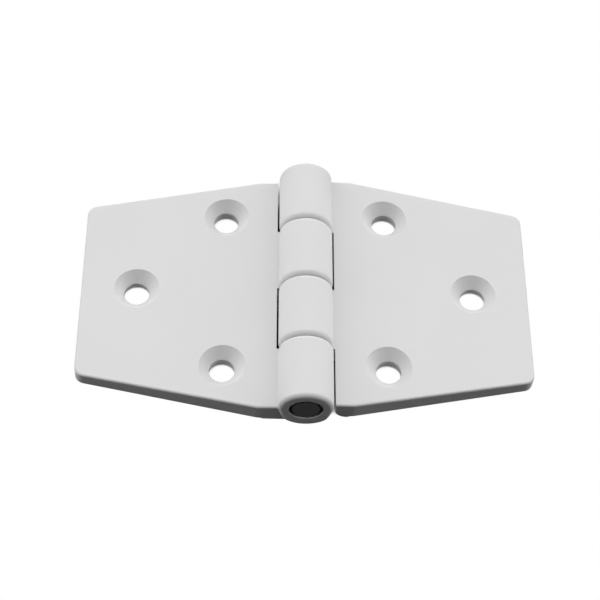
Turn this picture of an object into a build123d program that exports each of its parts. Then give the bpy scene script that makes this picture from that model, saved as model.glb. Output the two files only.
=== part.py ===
from build123d import *
import os
from math import cos, pi, radians, sin

# Plastic surface-mounted hinge: two equal leaves with interlocking knuckles on a steel pin.
# Millimetres. X runs across the hinge, Y along the pin towards the back, Z up.
# The origin lies under the middle of the barrel, at the height of the barrel's lowest line.
# The leaves are one moulding used twice: the left leaf is the right one turned half a turn.

os.makedirs("parts", exist_ok=True)

# Overall width over both outer edges with the hinge lying open
open_width = 97.9

# Barrel and knuckles, counted from 0 at the front end
knuckle_count = 4
knuckle_length = 15.05
knuckle_gap = 0.2            # end play between neighbouring knuckles
barrel_diameter = 11.75
knuckle_round = 1.1          # rounding of the knuckle ends, along the pin
knuckle_round_rise = 1.05    # and across it
round_angle = 105            # it keeps its full size this far down both sides, then dies out
round_skin = 0.02            # the rounded crown stands this much outside the barrel it is cut with

# Pin, knurled where it is pressed into the left leaf's end knuckle
pin_diameter = 6.0
pin_clearance = 0.05         # radial running clearance in every knuckle
pin_recess = 0.1             # each pin end lies this far inside the end of the barrel
pin_end_chamfer = 0.15
mouth_diameter = 7.3         # the bore opens to this width at both ends of the barrel
mouth_depth = 3.0
knurl_ridges = 16
knurl_depth = 0.15
knurl_bite = 0.03            # how far the ridges press into the bore
knurl_margin = 2.0           # plain pin left at both ends of the knurl, inside the knuckle

# Leaf plate
leaf_length = 58.7           # along the pin, beside the barrel
leaf_shift = 0.4             # each leaf sits this much towards its own end knuckle
leaf_end_length = 43.6       # along the narrow outer edge
leaf_end_shift = 0.2         # which is shifted less
straight_width = 3.9         # the sides run straight over this width before they taper
leaf_thickness_root = 4.4
leaf_thickness_edge = 3.2
barrel_below_leaf = 1.1      # the barrel stands this much lower than the leaf's underside
root_deepening = 0.4         # extra depth of the leaf's underside next to the barrel
root_width = 2.6             # over this width
root_ramp = 0.8              # and running out over this one
slot_gap = 0.4               # between a knuckle and the plate of the other leaf
slot_edge_round = 2.5        # lower inner edge of the plate, which swings past the barrel
outer_corner_round = 2.3
taper_corner_round = 4.0
top_edge_round = 0.5

# Screw holes for 5 mm countersunk screws
screw_hole_diameter = 5.5
countersink_diameter = 10.1
countersink_angle = 90
inner_hole_x = 17.8
inner_hole_pitch = 38.7
outer_hole_x = 36.95
screw_shift = 0.25           # the holes sit this much towards the leaf's own end knuckle

# Sizes and places that follow
barrel_radius = barrel_diameter / 2
axis_z = barrel_radius
barrel_length = knuckle_count * knuckle_length + (knuckle_count - 1) * knuckle_gap
barrel_end_y = barrel_length / 2
knuckle_front_y = [
    k * (knuckle_length + knuckle_gap) - barrel_end_y for k in range(knuckle_count)
]
own_knuckles = knuckle_front_y[1::2]       # of the right leaf
other_knuckles = knuckle_front_y[0::2]
crown_radius = barrel_radius + round_skin
bore_radius = pin_diameter / 2 + pin_clearance
pin_length = barrel_length - 2 * pin_recess

leaf_outer_x = open_width / 2
leaf_inner_x = barrel_radius + slot_gap
taper_start_x = leaf_inner_x + straight_width
leaf_front_y = leaf_shift - leaf_length / 2
leaf_back_y = leaf_shift + leaf_length / 2
leaf_end_front_y = leaf_end_shift - leaf_end_length / 2
leaf_end_back_y = leaf_end_shift + leaf_end_length / 2
underside_z = barrel_below_leaf
root_z = underside_z - root_deepening
root_outer_x = leaf_inner_x + root_width
top_slope = (leaf_thickness_root - leaf_thickness_edge) / (leaf_outer_x - leaf_inner_x)
screw_places = [
    (inner_hole_x, screw_shift - inner_hole_pitch / 2),
    (inner_hole_x, screw_shift + inner_hole_pitch / 2),
    (outer_hole_x, screw_shift),
]


def leaf_top_z(x):
    # height of the leaf's sloping top face at the distance x from the middle of the barrel
    return underside_z + leaf_thickness_root - top_slope * (x - leaf_inner_x)


# Long section of a knuckle on its right flank, from the axis out to the surface
lean = radians(round_angle)
right_flank = Plane((0, 0, axis_z), x_dir=(0, 1, 0), z_dir=(cos(lean), 0, -sin(lean)))
with BuildSketch(right_flank) as long_section:
    with BuildLine():
        end_round = EllipticalCenterArc(
            (knuckle_round, crown_radius - knuckle_round_rise),
            knuckle_round,
            knuckle_round_rise,
            start_angle=90,
            arc_size=90,
        )
        Polyline(
            end_round @ 1,
            (0, 0),
            (knuckle_length / 2, 0),
            (knuckle_length / 2, crown_radius),
            end_round @ 0,
        )
    make_face()
    mirror(about=Plane.YZ.offset(knuckle_length / 2))

# One knuckle with its front face at y = 0. The section is turned over the barrel's crown and drawn
# out straight below the flanks, so cutting to the barrel lets the rounding run out underneath.
with BuildPart() as knuckle:
    revolve(
        long_section.sketch,
        axis=Axis((0, 0, axis_z), (0, 1, 0)),
        revolution_arc=-round_angle,
    )
    extrude(long_section.sketch, amount=barrel_radius)
    mirror(about=Plane.YZ)
    with BuildSketch(Plane.XZ):
        with Locations((0, axis_z)):
            Circle(barrel_radius)
    extrude(amount=-knuckle_length, mode=Mode.INTERSECT)

with BuildPart() as right_leaf:
    # Plan of the plate, from the middle of the barrel outwards
    with BuildSketch():
        with BuildLine():
            Polyline(
                (0, leaf_front_y),
                (taper_start_x, leaf_front_y),
                (leaf_outer_x, leaf_end_front_y),
                (leaf_outer_x, leaf_end_back_y),
                (taper_start_x, leaf_back_y),
                (0, leaf_back_y),
                close=True,
            )
        make_face()
    extrude(amount=leaf_top_z(0))
    corners = right_leaf.edges().filter_by(Axis.Z).group_by(Axis.X)
    fillet(corners[-1], outer_corner_round)
    fillet(corners[-2], taper_corner_round)

    # Section of the plate: deeper at the root, thinner towards the outer edge
    with BuildSketch(Plane.XZ.offset(-leaf_front_y)):
        with BuildLine():
            Polyline(
                (0, root_z),
                (root_outer_x, root_z),
                (root_outer_x + root_ramp, underside_z),
                (leaf_outer_x, underside_z),
                (leaf_outer_x, leaf_top_z(leaf_outer_x)),
                (0, leaf_top_z(0)),
                close=True,
            )
        make_face()
    extrude(amount=-leaf_length, mode=Mode.INTERSECT)
    top_face = right_leaf.faces().sort_by(Axis.Z)[-1]
    fillet(top_face.edges().sort_by(Axis.X)[1:], top_edge_round)

    # Slots for the other leaf's knuckles
    with BuildSketch():
        for front_y in other_knuckles:
            with Locations((0, front_y - knuckle_gap)):
                Rectangle(
                    leaf_inner_x,
                    knuckle_length + 2 * knuckle_gap,
                    align=(Align.MIN, Align.MIN),
                )
    extrude(amount=leaf_top_z(0), mode=Mode.SUBTRACT)
    swinging_edges = right_leaf.edges(Select.LAST).filter_by(Axis.Y).group_by(Axis.Z)[0]
    fillet(swinging_edges, slot_edge_round)

    # Its own knuckles, bored through, with the wider mouth in the end one
    for front_y in own_knuckles:
        with Locations((0, front_y, 0)):
            add(knuckle.part)
    with BuildSketch(Plane.XZ.offset(barrel_end_y)):
        with Locations((0, axis_z)):
            Circle(bore_radius)
    extrude(amount=-barrel_length, mode=Mode.SUBTRACT)
    with BuildSketch(Plane.XZ.offset(-barrel_end_y)):
        with Locations((0, axis_z)):
            Circle(mouth_diameter / 2)
    extrude(amount=mouth_depth, mode=Mode.SUBTRACT)

    # Countersunk screw holes, square to the mounting face
    for x, y in screw_places:
        with Locations((x, y, leaf_top_z(x))):
            CounterSinkHole(
                screw_hole_diameter / 2,
                countersink_diameter / 2,
                counter_sink_angle=countersink_angle,
            )

right_leaf.part.label = "right_leaf"
export_step(right_leaf.part, "parts/right_leaf.step")

with BuildPart() as left_leaf:
    add(right_leaf.part.rotate(Axis.Z, 180))

left_leaf.part.label = "left_leaf"
export_step(left_leaf.part, "parts/left_leaf.step")

with BuildPart() as hinge_pin:
    with BuildSketch(Plane.XZ.offset(pin_length / 2)):
        with Locations((0, axis_z)):
            Circle(pin_diameter / 2)
    extrude(amount=-pin_length)
    chamfer(hinge_pin.edges().filter_by(GeomType.CIRCLE), pin_end_chamfer)

    # Knurl in the left leaf's end knuckle, as a ring of straight ridges
    crest_radius = bore_radius + knurl_bite
    ridge_points = []
    for i in range(2 * knurl_ridges):
        radius = crest_radius - knurl_depth * (i % 2)
        angle = pi * i / knurl_ridges
        ridge_points.append((radius * cos(angle), axis_z + radius * sin(angle)))
    with BuildSketch(Plane.XZ.offset(barrel_end_y - mouth_depth - knurl_margin)):
        with BuildLine():
            Polyline(*ridge_points, close=True)
        make_face()
    extrude(amount=-(knuckle_length - mouth_depth - 2 * knurl_margin))

hinge_pin.part.label = "hinge_pin"
export_step(hinge_pin.part, "parts/hinge_pin.step")
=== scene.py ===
import math
import bpy
import numpy as np
from mathutils import Matrix, Vector


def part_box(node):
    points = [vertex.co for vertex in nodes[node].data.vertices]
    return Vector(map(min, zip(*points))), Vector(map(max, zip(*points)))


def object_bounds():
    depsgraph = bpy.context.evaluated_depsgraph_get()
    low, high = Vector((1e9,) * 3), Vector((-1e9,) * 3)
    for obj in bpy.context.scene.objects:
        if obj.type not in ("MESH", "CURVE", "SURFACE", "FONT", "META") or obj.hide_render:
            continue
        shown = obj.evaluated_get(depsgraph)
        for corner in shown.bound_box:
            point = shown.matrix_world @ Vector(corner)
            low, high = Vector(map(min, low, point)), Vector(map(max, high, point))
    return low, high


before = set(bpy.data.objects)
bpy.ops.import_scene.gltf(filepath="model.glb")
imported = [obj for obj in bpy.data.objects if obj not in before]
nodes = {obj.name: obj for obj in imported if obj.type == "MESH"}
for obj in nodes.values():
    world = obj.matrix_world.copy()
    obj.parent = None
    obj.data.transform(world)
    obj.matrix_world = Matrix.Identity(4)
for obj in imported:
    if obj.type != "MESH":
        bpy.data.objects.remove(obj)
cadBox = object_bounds()
print("hinge loaded:", ", ".join(sorted(nodes)))

photoView = {
    "azimuth": -4.046,        # degrees, negative is from the left
    "elevation": 56.832,      # degrees above the horizon
    "roll": -4.747,           # degrees
    "distance": 0.34806,      # metres from the point looked at
    "aimHeight": 0.001,       # metres, about level with the leaves' undersides
    "focal": 1575.7,          # pixels of the 600 pixel wide frame
    "frameWidth": 600,
    "lookRight": 4.84,        # pixels by which the point looked at lies right of the frame's middle
    "sensorWidth": 36,        # millimetres
    "clipStart": 0.01,        # metres
    "clipEnd": 20,
}


def turnRows(axis, angle):
    return np.array(Matrix.Rotation(angle, 3, axis))


def addCamera(v):
    # the camera's axes come from azimuth and elevation, are turned a little so that
    # the point looked at falls off the frame's middle, and are rolled last
    azimuth = math.radians(v["azimuth"])
    elevation = math.radians(v["elevation"])
    back = np.array([
        math.sin(azimuth) * math.cos(elevation),
        -math.cos(azimuth) * math.cos(elevation),
        math.sin(elevation),
    ])
    right = np.array([math.cos(azimuth), math.sin(azimuth), 0.0])
    axes = np.array([right, np.cross(back, right), back])
    axes = turnRows("Y", -v["lookRight"] / v["focal"]) @ axes
    axes = turnRows("Z", math.radians(v["roll"])) @ axes
    placed = Matrix(axes.T.tolist()).to_4x4()
    placed.translation = Vector(back * v["distance"]) + Vector((0, 0, v["aimHeight"]))
    camera = bpy.data.objects.new("photoCamera", bpy.data.cameras.new("photoCamera"))
    camera.data.sensor_width = v["sensorWidth"]
    camera.data.lens = v["focal"] / v["frameWidth"] * v["sensorWidth"]
    camera.data.clip_start, camera.data.clip_end = v["clipStart"], v["clipEnd"]
    camera.matrix_world = placed
    bpy.context.scene.collection.objects.link(camera)
    bpy.context.scene.camera = camera


addCamera(photoView)
print("camera placed")


def addNode(tree, kind, x, y, **settings):
    node = tree.nodes.new(kind)
    node.location = (x, y)
    for name, value in settings.items():
        setattr(node, name, value)
    return node


def setInputs(node, **values):
    for name, value in values.items():
        node.inputs[name.replace("_", " ")].default_value = value


def newMaterial(name):
    material = bpy.data.materials.new(name)
    material.use_nodes = True
    tree = material.node_tree
    tree.nodes.clear()
    return material, tree


mottleLook = {
    "detail": 4.0,
    "roughness": 0.55,
    "patches": 100,           # per metre, unless a material asks for another number
}


def makeMottleGroup(look):
    # soft uneven patches, as a mask from 0 to 1 about a middle of 0.5
    group = bpy.data.node_groups.new("softMottle", "ShaderNodeTree")
    ports = group.interface
    ports.new_socket("Position", in_out="INPUT", socket_type="NodeSocketVector")
    size = ports.new_socket("Patches per metre", in_out="INPUT", socket_type="NodeSocketFloat")
    size.default_value = look["patches"]
    ports.new_socket("Mask", in_out="OUTPUT", socket_type="NodeSocketFloat")
    enter = addNode(group, "NodeGroupInput", -500, 0)
    noise = addNode(group, "ShaderNodeTexNoise", -250, 0)
    setInputs(noise, Detail=look["detail"], Roughness=look["roughness"])
    leave = addNode(group, "NodeGroupOutput", 0, 0)
    group.links.new(enter.outputs["Position"], noise.inputs["Vector"])
    group.links.new(enter.outputs["Patches per metre"], noise.inputs["Scale"])
    group.links.new(noise.outputs["Fac"], leave.inputs["Mask"])
    return group


softMottle = makeMottleGroup(mottleLook)
mixFactor, mixFirst, mixSecond, mixedColour = 0, 6, 7, 2   # a Mix node's sockets for colours


def startFinish(name, look):
    # colour and roughness that follow the mottle, and a bump that still needs its height
    material, tree = newMaterial(name)
    place = addNode(tree, "ShaderNodeTexCoord", -1300, 0)
    mottle = addNode(tree, "ShaderNodeGroup", -850, 150, node_tree=softMottle)
    setInputs(mottle, Patches_per_metre=look["patches"])
    tone = addNode(tree, "ShaderNodeMix", -400, 250, data_type="RGBA")
    tone.inputs[mixFirst].default_value = look["colourFrom"]
    tone.inputs[mixSecond].default_value = look["colourTo"]
    rough = addNode(tree, "ShaderNodeMapRange", -400, 0)
    setInputs(rough, To_Min=look["roughFrom"], To_Max=look["roughTo"])
    bump = addNode(tree, "ShaderNodeBump", -400, -250)
    setInputs(bump, Strength=1.0, Distance=look["bumpHeight"])
    surface = addNode(tree, "ShaderNodeBsdfPrincipled", -100, 100)
    out = addNode(tree, "ShaderNodeOutputMaterial", 200, 100)
    link = tree.links.new
    link(place.outputs["Object"], mottle.inputs["Position"])
    link(mottle.outputs["Mask"], tone.inputs[mixFactor])
    link(mottle.outputs["Mask"], rough.inputs["Value"])
    link(tone.outputs[mixedColour], surface.inputs["Base Color"])
    link(rough.outputs["Result"], surface.inputs["Roughness"])
    link(bump.outputs["Normal"], surface.inputs["Normal"])
    link(surface.outputs[0], out.inputs["Surface"])
    return material, place, bump, surface


leafLook = {
    "colourFrom": (0.665, 0.665, 0.665, 1),
    "colourTo": (0.700, 0.700, 0.700, 1),
    "patches": 60,            # per metre
    "roughFrom": 0.45,
    "roughTo": 0.65,
    "grain": 9000,            # cells of the mould's eroded texture per metre
    "grainDetail": 2.0,
    "bumpHeight": 0.00001,    # metres
    "specular": 0.12,
}


def makeLeafPlastic(look):
    material, place, bump, plastic = startFinish("leafPlastic", look)
    setInputs(plastic, Specular_IOR_Level=look["specular"])
    tree = material.node_tree
    grain = addNode(tree, "ShaderNodeTexNoise", -850, -250)
    setInputs(grain, Scale=look["grain"], Detail=look["grainDetail"])
    tree.links.new(place.outputs["Object"], grain.inputs["Vector"])
    tree.links.new(grain.outputs["Fac"], bump.inputs["Height"])
    return material


pinLook = {
    "colourFrom": (0.012, 0.012, 0.012, 1),
    "colourTo": (0.022, 0.022, 0.023, 1),
    "edgeTint": (0.6, 0.6, 0.6, 1),          # the oxide keeps it dark at a slant too
    "patches": 900,           # per metre
    "roughFrom": 0.50,
    "roughTo": 0.26,
    "turningRings": 796,      # per metre of radius, left by the cut-off tool
    "ringWobble": 0.6,
    "ringDetail": 1.0,
    "bumpHeight": 0.000006,   # metres
}
wavePhase = 20                # radians that a Wave Texture of scale 1 turns through in one metre


def makePinSteel(look, axisHeight):
    material, place, bump, steel = startFinish("pinSteel", look)
    setInputs(steel, Metallic=1.0, Specular_Tint=look["edgeTint"])
    tree = material.node_tree
    centred = addNode(tree, "ShaderNodeMapping", -1100, -250, vector_type="POINT")
    setInputs(centred, Location=(0, 0, -axisHeight))
    rings = addNode(
        tree, "ShaderNodeTexWave", -850, -250,
        wave_type="RINGS", rings_direction="Y", wave_profile="SIN",
    )
    setInputs(rings, Scale=look["turningRings"] * 2 * math.pi / wavePhase)
    setInputs(rings, Distortion=look["ringWobble"], Detail=look["ringDetail"])
    tree.links.new(place.outputs["Object"], centred.inputs["Vector"])
    tree.links.new(centred.outputs["Vector"], rings.inputs["Vector"])
    tree.links.new(rings.outputs["Fac"], bump.inputs["Height"])
    return material


pinLow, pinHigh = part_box("hinge_pin")
leafPlastic = makeLeafPlastic(leafLook)
pinSteel = makePinSteel(pinLook, (pinLow.z + pinHigh.z) / 2)
finishes = {"left_leaf": leafPlastic, "right_leaf": leafPlastic, "hinge_pin": pinSteel}
for name, material in finishes.items():
    nodes[name].data.materials[0] = material
print("plastic and steel in place")

floorLook = {
    "halfWidth": 3.0,         # metres
    "drop": 0.00002,          # below the barrel's lowest line
    "reach": 0.04,            # metres over which the object's painted shade reaches across the table
    "samples": 32,
    "blackTo": 0.09,          # with less of the sky open than this, the painted shade on the table is black
    "whiteFrom": 0.20,        # and with more than this, the table glows plain white
    "shadowInset": 0.0064,    # the painted shadow's middle lies this far in from the barrel's rear end
    "shadowAcross": 0.009,    # half its width
    "shadowAlong": 0.010,     # half its length
    "shadowCore": 0.83,       # it is darkest inside this share of both
    "shadowEdge": 1.18,       # and ends at this one
    "shadowGrey": 0.25,
    "unseenColour": (0.03, 0.03, 0.03, 1),   # it throws hardly any light back up
}


def makeTableWhite(look, rearEnd):
    material, tree = newMaterial("whiteTable")
    path = addNode(tree, "ShaderNodeLightPath", -700, 400)
    mirrored = addNode(tree, "ShaderNodeMath", -450, 300, operation="MAXIMUM")
    # painted shade on the table: it is darker where ambient occlusion finds less open sky, not where
    # the lamps are blocked
    openSky = addNode(tree, "ShaderNodeAmbientOcclusion", -900, 100, samples=look["samples"])
    setInputs(openSky, Distance=look["reach"])
    paintedShade = addNode(tree, "ShaderNodeMapRange", -700, 100)
    setInputs(paintedShade, From_Min=look["blackTo"], From_Max=look["whiteFrom"])
    # the painted oval shadow, fixed on the table round the barrel's rear end, is a ceiling on the
    # painted shade that rises with the distance from its middle
    across, along = look["shadowAcross"], look["shadowAlong"]
    place = addNode(tree, "ShaderNodeTexCoord", -1500, -250)
    paintedShadowOval = addNode(tree, "ShaderNodeMapping", -1300, -250, vector_type="POINT")
    setInputs(paintedShadowOval, Location=(0, -(rearEnd - look["shadowInset"]) / along, 0))
    setInputs(paintedShadowOval, Scale=(1 / across, 1 / along, 0))
    distance = addNode(tree, "ShaderNodeVectorMath", -1100, -250, operation="LENGTH")
    paintedShadowCeiling = addNode(tree, "ShaderNodeMapRange", -900, -200)
    setInputs(paintedShadowCeiling, From_Min=look["shadowCore"], From_Max=look["shadowEdge"])
    setInputs(paintedShadowCeiling, To_Min=look["shadowGrey"])
    limited = addNode(tree, "ShaderNodeMath", -700, -100, operation="MINIMUM")
    # for the camera the table glows white, dimmed by the painted shade and the painted oval shadow
    paintedShadeGlow = addNode(tree, "ShaderNodeEmission", -450, 100)
    white = addNode(tree, "ShaderNodeEmission", -450, -50)
    for glow in (paintedShadeGlow, white):
        setInputs(glow, Color=(1, 1, 1, 1), Strength=1.0)
    unseen = addNode(tree, "ShaderNodeBsdfDiffuse", -450, -200)
    setInputs(unseen, Color=look["unseenColour"])
    elsewhere = addNode(tree, "ShaderNodeMixShader", -150, -100)
    choice = addNode(tree, "ShaderNodeMixShader", 100, 50)
    out = addNode(tree, "ShaderNodeOutputMaterial", 300, 50)
    link = tree.links.new
    link(openSky.outputs["AO"], paintedShade.inputs["Value"])
    link(place.outputs["Object"], paintedShadowOval.inputs["Vector"])
    link(paintedShadowOval.outputs["Vector"], distance.inputs[0])
    link(distance.outputs["Value"], paintedShadowCeiling.inputs["Value"])
    link(paintedShade.outputs["Result"], limited.inputs[0])
    link(paintedShadowCeiling.outputs["Result"], limited.inputs[1])
    link(limited.outputs[0], paintedShadeGlow.inputs["Strength"])
    link(path.outputs["Is Glossy Ray"], mirrored.inputs[0])
    link(path.outputs["Is Transmission Ray"], mirrored.inputs[1])
    link(mirrored.outputs[0], elsewhere.inputs[0])
    link(unseen.outputs[0], elsewhere.inputs[1])
    link(white.outputs[0], elsewhere.inputs[2])
    link(path.outputs["Is Camera Ray"], choice.inputs[0])
    link(elsewhere.outputs[0], choice.inputs[1])
    link(paintedShadeGlow.outputs[0], choice.inputs[2])
    link(choice.outputs[0], out.inputs["Surface"])
    return material


def addFloor(look, lowest, rearEnd):
    w = look["halfWidth"]
    z = lowest - look["drop"]
    mesh = bpy.data.meshes.new("whiteTable")
    mesh.from_pydata([(-w, -w, z), (w, -w, z), (w, w, z), (-w, w, z)], [], [(0, 1, 2, 3)])
    mesh.materials.append(makeTableWhite(look, rearEnd))
    floor = bpy.data.objects.new("whiteTable", mesh)
    bpy.context.scene.collection.objects.link(floor)


cadLow, cadHigh = cadBox
addFloor(floorLook, cadLow[2], cadHigh[1])
print("table laid")

studio = {
    "fill": 0.43,             # even light from everywhere but the front
    "sideBoxes": 3.3,         # added at the far left and right, fading with x squared
    "topBox": 1.42,           # added straight above, fading with z squared
    "backBox": -0.25,         # behind it is a little dimmer, by y squared
    "darkFrom": -0.30,        # the direction's y below which the camera's side is dark
    "darkTo": -0.18,          # and above which it is fully lit
}


def lightStudio(s):
    # radiance = (fill + sideBoxes x^2 + topBox z^2 + backBox y^2), faded to nothing towards -Y
    world = bpy.data.worlds.new("softStudio")
    bpy.context.scene.world = world
    world.use_nodes = True
    tree = world.node_tree
    tree.nodes.clear()
    link = tree.links.new

    def mathNode(operation, x, y, first, second):
        node = addNode(tree, "ShaderNodeMath", x, y, operation=operation)
        for port, value in zip(node.inputs, (first, second)):
            if isinstance(value, float):
                port.default_value = value
            else:
                link(value, port)
        return node.outputs[0]

    place = addNode(tree, "ShaderNodeTexCoord", -1300, 0)
    parts = addNode(tree, "ShaderNodeSeparateXYZ", -1100, 0)
    link(place.outputs["Generated"], parts.inputs[0])
    total = s["fill"]
    for row, (axis, gain) in enumerate((("X", "sideBoxes"), ("Z", "topBox"), ("Y", "backBox"))):
        square = mathNode("POWER", -850, -200 * row, parts.outputs[axis], 2.0)
        scaled = mathNode("MULTIPLY", -650, -200 * row, square, s[gain])
        total = mathNode("ADD", -450, -200 * row, total, scaled)
    dark = addNode(tree, "ShaderNodeMapRange", -450, 250, interpolation_type="SMOOTHSTEP")
    setInputs(dark, From_Min=s["darkFrom"], From_Max=s["darkTo"])
    link(parts.outputs["Y"], dark.inputs["Value"])
    lit = addNode(tree, "ShaderNodeBackground", 0, 0)
    link(mathNode("MULTIPLY", -220, 0, total, dark.outputs[0]), lit.inputs["Strength"])
    white = addNode(tree, "ShaderNodeBackground", 0, -200)
    setInputs(white, Color=(1, 1, 1, 1), Strength=1.0)
    path = addNode(tree, "ShaderNodeLightPath", -450, 600)
    seen = mathNode("MAXIMUM", -220, 600, path.outputs["Is Camera Ray"], path.outputs["Is Glossy Ray"])
    seen = mathNode("MAXIMUM", 0, 600, seen, path.outputs["Is Transmission Ray"])
    choice = addNode(tree, "ShaderNodeMixShader", 250, 0)
    out = addNode(tree, "ShaderNodeOutputWorld", 450, 0)
    link(seen, choice.inputs[0])
    link(lit.outputs[0], choice.inputs[1])
    link(white.outputs[0], choice.inputs[2])
    link(choice.outputs[0], out.inputs["Surface"])


lightStudio(studio)
bpy.context.scene.view_settings.view_transform = "Standard"
print("studio lit")
